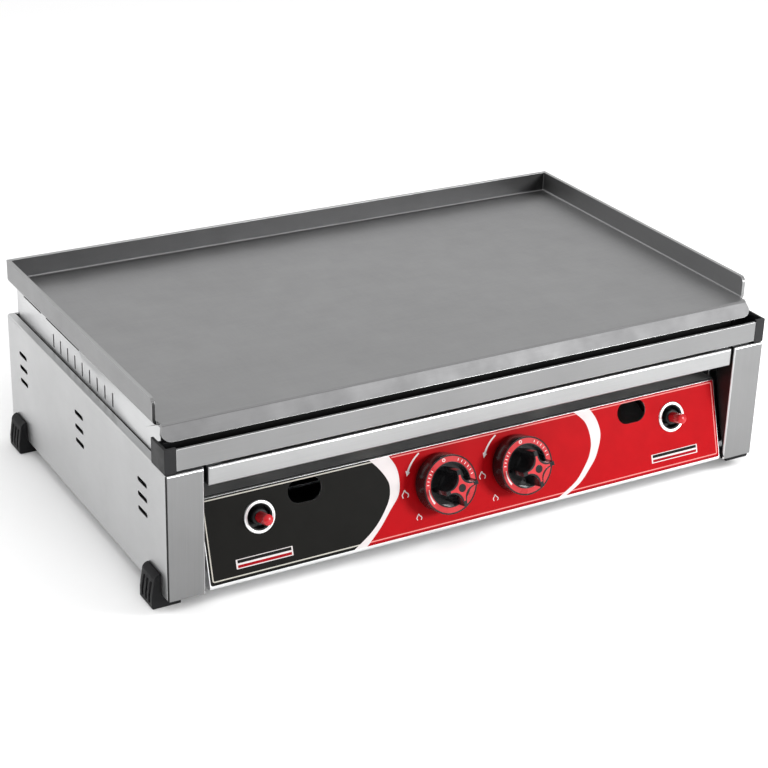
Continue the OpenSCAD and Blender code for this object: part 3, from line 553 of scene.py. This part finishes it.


# Painted highlight: the plate's broken edges are a lighter steel.
painted_edge_highlight(piece["griddle_plate"], "steel_rail")
# Painted light: the outsides of the splash walls get a lighter copy of the plate steel.
paint_faces(piece["griddle_plate"], "plate_outside_painted_light", wall_outside)
# Painted shade: the lip gets a darker, rougher copy of the plate steel, which dims the highlight it catches.
paint_faces(piece["griddle_plate"], "plate_lip_painted_shade", lambda n, c: n.y < -0.75 and n.z > 0.1)
# Painted highlight: the lip's downward end face is bright steel.
paint_faces(piece["griddle_plate"], "steel_edge", lambda n, c: n.y < -0.3 and n.z < -0.1)
# Painted shade on the left splash wall's cut front end; the right one gets a lighter steel, painted light.
paint_faces(piece["griddle_plate"], "steel_inner", lambda n, c: wall_end(n, c) and c.x < 0)
paint_faces(piece["griddle_plate"], "steel_tray", lambda n, c: wall_end(n, c) and c.x > 0)
# Painted light: the splash walls' top faces are a lighter steel.
paint_faces(piece["griddle_plate"], "steel_top", wall_top)
# Painted shade: the inside of the rear wall gets a near-black copy of the plate steel.
paint_faces(piece["griddle_plate"], "plate_rear_painted_shade", rear_wall_inside)
for side, name in SIDES:
    # Painted shade: the side panel's front fold is near black, for the shaded gap beside the post.
    paint_faces(piece[name + "_side_panel"], "gap_painted_shade", lambda n, c: n.y < -0.6)
    # Painted highlight: the bend along the side panel's top is a lighter steel.
    paint_faces(piece[name + "_side_panel"], "steel_bend", lambda n, c: n.z > 0.2 and abs(n.x) > 0.2)
    # Painted shade: the firebox wall's flange below the side panel's top is near black, for the shaded gap
    # there.
    paint_faces(piece[name + "_firebox_wall"], "gap_painted_shade", lambda n, c: n.z > 0.9 and c.z < side_high[2])
    # Painted shade: the post's inner flange is near black.
    paint_faces(piece[name + "_front_post"], "steel_inner", lambda n, c: n.x * side < -0.6)
    # Painted highlight on the post's top bend.
    paint_faces(piece[name + "_front_post"], "steel_edge", front_bend)
    # Painted highlight: the post's inner vertical bend gets the lighter side-panel steel.
    paint_faces(piece[name + "_front_post"], "steel_side", lambda n, c: n.y < -0.2 and n.x * side < -0.2)
# Painted highlight on the rail's top bend.
paint_faces(piece["front_top_rail"], "steel_edge", front_bend)
# The control panel's face keeps a light steel, and the bend above it is painted darker: painted shade that
# dims the highlight it would catch.
paint_faces(piece["control_panel"], "steel_panel", lambda n, c: n.y < -0.05)
paint_faces(piece["control_panel"], "steel_fold", lambda n, c: n.y < -0.05 and n.z > 0.3)
# Painted highlight: the tray's broken edges are a lighter steel.
painted_edge_highlight(piece["grease_tray"], "steel_side")
# Painted shade: the tray's inside, its rim, back wall and floor, is near black.
for chosen in (tray_rim_inside, tray_back_wall, tray_floor):
    paint_faces(piece["grease_tray"], "steel_inner", chosen)

# CAD nodes that keep their own shape, by look
KEPT_NODES = {
    "zinc": ("plate_studs", "plate_nuts", "plate_brackets", "burner_supports", "gas_manifold",
             "valve_screws", "feed_pipes", "tray_runners", "foot_screws"),
    # Painted shade: near-black steel for the brackets, the front firebox wall and the heat shield inside the
    # body.
    "steel_inner": ("panel_brackets", "front_firebox_wall", "heat_shield"),
    "steel_side": ("left_burner", "right_burner"),
    "brass": ("left_gas_valve", "right_gas_valve", "gas_injectors", "thermocouples", "gas_inlet",
              "gas_supply_pipe", "left_valve_stem", "right_valve_stem"),
    "bright": ("igniter_bezels", "rear_screws", "left_thrust_pin", "right_thrust_pin"),
    "ceramic": ("spark_electrodes",),
    "wire": ("ignition_leads",),
    "red_plastic": ("left_igniter_button", "right_igniter_button"),
}
for key, nodes in KEPT_NODES.items():
    for node in nodes:
        paint(frame["nodes"][node], key)

# ---------- printed label ----------
# The two curved bands, each by its left and right edge from the top down.
SWOOSH_1_LEFT = [(-122, 87.8), (-113, 78), (-105.2, 66), (-102.6, 56.5), (-105.5, 43), (-117.5, 26),
                 (-131, 14), (-150, 2.3)]
SWOOSH_1_RIGHT = [(-100, 87.8), (-93, 75), (-91, 61), (-94, 46), (-105, 33), (-119, 17), (-135.5, 2.3)]
SWOOSH_2_LEFT = [(123, 87.8), (136, 74), (140.6, 54.5), (137, 39), (128, 26), (116, 14), (94, 2.3)]
SWOOSH_2_RIGHT = [(142.5, 87.8), (150.5, 74), (153.2, 57), (145.7, 37), (135, 24), (122, 12), (103, 2.3)]
LABEL_CORNER = 2.0
IGNITER_HOLE_R = 13.6
SIGHT_SIZE = (36.5, 24.5)
KNOB_HOLE_R = 8
INK = 0.03

film = panel_matrix()
left_edge = curve_through(SWOOSH_1_LEFT)
corner_u = LABEL_HALF - LABEL_CORNER
corner_top = LABEL_TOP - LABEL_CORNER
corner_low = LABEL_LOW + LABEL_CORNER
black_outline = (left_edge[::-1] + quarter(-corner_u, corner_top, LABEL_CORNER, 90)
                 + quarter(-corner_u, corner_low, LABEL_CORNER, 180))
red_outline = (left_edge + quarter(corner_u, corner_low, LABEL_CORNER, 270)
               + quarter(corner_u, corner_top, LABEL_CORNER, 0))
black_film = flat_piece("label_black_film", [
    black_outline, circle(-IGNITER_U, IGNITER_V, IGNITER_HOLE_R), obround(-SIGHT_U, SIGHT_V, *SIGHT_SIZE)],
    "film_black", LABEL_T, film)
flat_piece("label_red_film", [
    red_outline, circle(IGNITER_U, IGNITER_V, IGNITER_HOLE_R), obround(SIGHT_U, SIGHT_V, *SIGHT_SIZE),
    circle(-KNOB_U, KNOB_V, KNOB_HOLE_R), circle(KNOB_U, KNOB_V, KNOB_HOLE_R)], "film_red", LABEL_T, film)
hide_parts("panel_label")


def ink(name, outlines, key, level=1):
    """Ink on the label: a higher level lies over a lower one."""
    return flat_piece("ink_" + name, outlines, key, INK, panel_matrix(h=LABEL_T + INK * (level - 1)))


# Darker red strips along the bottom and top edges of the label's red part.
BAND_END = LABEL_HALF - 0.9
ink("band_bottom", [ribbon([(-134, 3.2), (BAND_END, 3.2)], 1.6)], "ink_dark_red")
ink("band_top", [ribbon([(-99, 87.1), (BAND_END, 87.1)], 1.4)], "ink_dark_red")

# A thin line round each half of the label, open where the left curved band crosses.
BORDER_U = 302.8
BORDER_LOW = 5.9
BORDER_TOP = 85.5
BORDER_R = 1.6
BORDER_WIDTH = 1.2
turn = BORDER_U - BORDER_R
border_corners = (quarter(turn, BORDER_LOW + BORDER_R, BORDER_R, 270)
                  + quarter(turn, BORDER_TOP - BORDER_R, BORDER_R, 0))
for side, name, end_low, end_top, key in ((-1, "left", -141, -112, "ink_pale"),
                                          (1, "right", -133, -97, "ink_pink")):
    path = [(end_low, BORDER_LOW)] + [(side * u, v) for u, v in border_corners] + [(end_top, BORDER_TOP)]
    ink("border_" + name, [ribbon(path, BORDER_WIDTH)], key, 2)
ink("swoosh_left", [left_edge + curve_through(SWOOSH_1_RIGHT)[::-1]], "ink_white", 3)
ink("swoosh_right", [curve_through(SWOOSH_2_LEFT) + curve_through(SWOOSH_2_RIGHT)[::-1]], "ink_white", 3)

# Plain stripes under each igniter.
STRIPES_U = (216.0, 277.0)
for side, name in SIDES:
    low, high = sorted(side * u for u in STRIPES_U)
    ink("stripes_white_" + name, [rounded_box(low, high, 12.7, 22.2, 0.4)], "ink_white", 1)
    ink("stripe_dark_" + name, [rounded_box(low + 1.6, high - 1.4, 18.3, 21.5, 0.2)], "film_black", 2)
    ink("stripe_red_" + name, [rounded_box(low + 1.6, high - 1.4, 13.6, 16.4, 0.2)], "ink_dark_red", 2)

# Beside each knob: an arrow to turn it anticlockwise, and a large and a small flame. Each flame has a name,
# a radius and angle about the knob, and a size. Angles are in degrees.
ARROW_R = 39.0
ARROW_SHAFT = (121, 155)
ARROW_HEAD = 153.5
ARROW_TIP = 161
HEAD_HALF = 2.6
FLAMES = (("high", 41.0, 187.0, 3.6), ("low", 42.0, 228.5, 2.9))
FLAME_LINE = [(-0.75, -0.9), (-1.0, -0.1), (-0.55, 0.55), (-0.1, 1.2), (0.25, 0.6), (0.85, 0.1),
              (0.95, -0.5), (0.6, -0.95)]
for side, name in SIDES:
    knob = (side * KNOB_U, KNOB_V)
    ink("arrow_" + name, [ribbon(arc(*knob, ARROW_R, *ARROW_SHAFT, 14), 1.5, 2.2)], "ink_white", 1)
    head = [on_circle(*knob, ARROW_R, ARROW_TIP), on_circle(*knob, ARROW_R - HEAD_HALF, ARROW_HEAD),
            on_circle(*knob, ARROW_R + HEAD_HALF, ARROW_HEAD)]
    ink("arrow_head_" + name, [head], "ink_white", 2)
    for mark, radius, angle, size in FLAMES:
        cx, cy = on_circle(*knob, radius, angle)
        flame = [(cx + size * x, cy + size * y) for x, y in curve_through(FLAME_LINE, 4)]
        ink("flame_%s_%s" % (mark, name), [ribbon(flame, size * 0.3)], "ink_white", 1)

# ---------- marks on the dial rings ----------
# Millimetres and degrees about the knob's axis: the zero's ring, the widening wedge and the ticks.
RING_TOP = 22.7
LIFT = 0.01
ZERO_AT = (26.6, 101)
WEDGE_R = 25.4
WEDGE_ARC = (180, 217)
TICK_RS = (25.0, 27.6)
TICK_ANGLES = (14, 24, 34, 44, 54, 64, 138, 146, 154, 162, 170)
for side, name in SIDES:
    top = panel_matrix(side * KNOB_U, KNOB_V, RING_TOP + LIFT)
    body = name + "_control"
    zero = on_circle(0, 0, *ZERO_AT)
    zero_ring = [circle(*zero, 1.9, 24), circle(*zero, 1.0, 24)]
    flat_piece("dial_zero_" + name, zero_ring, "ink_white", INK, top, body)
    wedge = ribbon(arc(0, 0, WEDGE_R, *WEDGE_ARC, 16), 0.7, 2.2)
    flat_piece("dial_wedge_" + name, [wedge], "ink_white", INK, top, body)
    for i, angle in enumerate(TICK_ANGLES):
        tick = ribbon([on_circle(0, 0, r, angle) for r in TICK_RS], 0.8)
        flat_piece("dial_tick_%s_%d" % (name, i), [tick], "ink_white", INK, top, body)

# ---------- floor, light and camera ----------
FLOOR_HALF = 9
floor_corners = [(x * FLOOR_HALF, y * FLOOR_HALF, 0) for x, y in ((-1, -1), (1, -1), (1, 1), (-1, 1))]
floor_mesh = bpy.data.meshes.new("floor")
floor_mesh.from_pydata(floor_corners, [], [(0, 1, 2, 3)])
floor = link("floor", floor_mesh)
floor.data.materials.append(floor_paper("floor_paper"))
floor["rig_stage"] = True


def softbox(name, location, target, size, watts):
    """A rectangular light that faces its target."""
    light = bpy.data.lights.new(name, "AREA")
    light.shape = "RECTANGLE"
    light.size, light.size_y = size
    light.energy = watts
    obj = link(name, light)
    obj.location = location
    obj.rotation_euler = (Vector(target) - Vector(location)).to_track_quat("-Z", "Y").to_euler()
    return obj


def light_linked(light, state):
    """Makes a light leave out the floor (EXCLUDE), or light nothing else (INCLUDE)."""
    receivers = bpy.data.collections.new(light.name + "_receivers")
    receivers.objects.link(floor)
    receivers.collection_objects[0].light_linking.link_state = state
    light.light_linking.receiver_collection = receivers


light_linked(softbox("key_light", (1.47, -2.42, 0.98), (0, 0, 0.1), (0.9, 0.6), 76), "EXCLUDE")
for name, place, size, watts in (("floor_light", (0.0, -0.4, 3.2), (3.0, 3.0), 28),
                                 ("floor_front_light", (-0.5, -3.0, 1.2), (2.6, 1.4), 54),
                                 ("floor_right_light", (1.4, -0.9, 1.2), (0.8, 0.8), 26)):
    light_linked(softbox(name, place, (0, 0, 0), size, watts), "INCLUDE")

# A dim glow all round, and then each bright part of the studio: the direction it lies in, the cosines
# of the angles from there at which its glow starts and is full, and its strength.
GLOWS = (
    ((0, 0, 1), -1.01, -1.0, 0.16),
    ((0, 0, 1), 0.10, 0.55, 0.56),
    ((0.35, 0.85, 0.35), 0.35, 0.95, 0.45),
    ((-0.90, 0.30, 0.10), 0.30, 0.90, 0.50),
)


def studio_world():
    """The studio around the griddle: bright overhead, at the rear right and at the left, dim in front."""
    world = bpy.data.worlds.new("studio")
    world.use_nodes = True
    tree = world.node_tree
    direction = tree.nodes.new("ShaderNodeTexCoord").outputs["Generated"]
    total = None
    for toward, start, end, strength in GLOWS:
        dot = tree.nodes.new("ShaderNodeVectorMath")
        dot.operation = "DOT_PRODUCT"
        tree.links.new(direction, dot.inputs[0])
        dot.inputs[1].default_value = Vector(toward).normalized()
        ramp = tree.nodes.new("ShaderNodeMapRange")
        ramp.interpolation_type = "SMOOTHSTEP"
        ramp.inputs["From Min"].default_value = start
        ramp.inputs["From Max"].default_value = end
        ramp.inputs["To Max"].default_value = strength
        tree.links.new(dot.outputs["Value"], ramp.inputs["Value"])
        glow = ramp.outputs["Result"]
        total = glow if total is None else combine(tree, "ADD", total, glow)
    tree.links.new(total, tree.nodes["Background"].inputs["Strength"])
    tree.nodes["Background"].inputs["Color"].default_value = (1, 1, 1, 1)
    bpy.context.scene.world = world


studio_world()

CAMERA_AT = Vector((-0.9728, -1.6726, 0.9813))
AZIMUTH = math.radians(-30.24)
ELEVATION = math.radians(24.96)
ROLL = math.radians(1.68)
LENS_MM = 91.26
SENSOR_MM = 36
ahead = Vector((-math.sin(AZIMUTH) * math.cos(ELEVATION), math.cos(AZIMUTH) * math.cos(ELEVATION),
                -math.sin(ELEVATION)))
right = ahead.cross(Vector((0, 0, 1))).normalized()
up = right.cross(ahead)
turned_right = math.cos(ROLL) * right + math.sin(ROLL) * up
turned_up = math.cos(ROLL) * up - math.sin(ROLL) * right
camera = link("camera", bpy.data.cameras.new("camera"))
camera.data.lens = LENS_MM
camera.data.sensor_width = SENSOR_MM
camera.matrix_world = Matrix((
    (turned_right.x, turned_up.x, -ahead.x, CAMERA_AT.x),
    (turned_right.y, turned_up.y, -ahead.y, CAMERA_AT.y),
    (turned_right.z, turned_up.z, -ahead.z, CAMERA_AT.z),
    (0, 0, 0, 1)))
bpy.context.scene.camera = camera
bpy.context.scene.view_settings.view_transform = "Standard"

low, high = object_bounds()
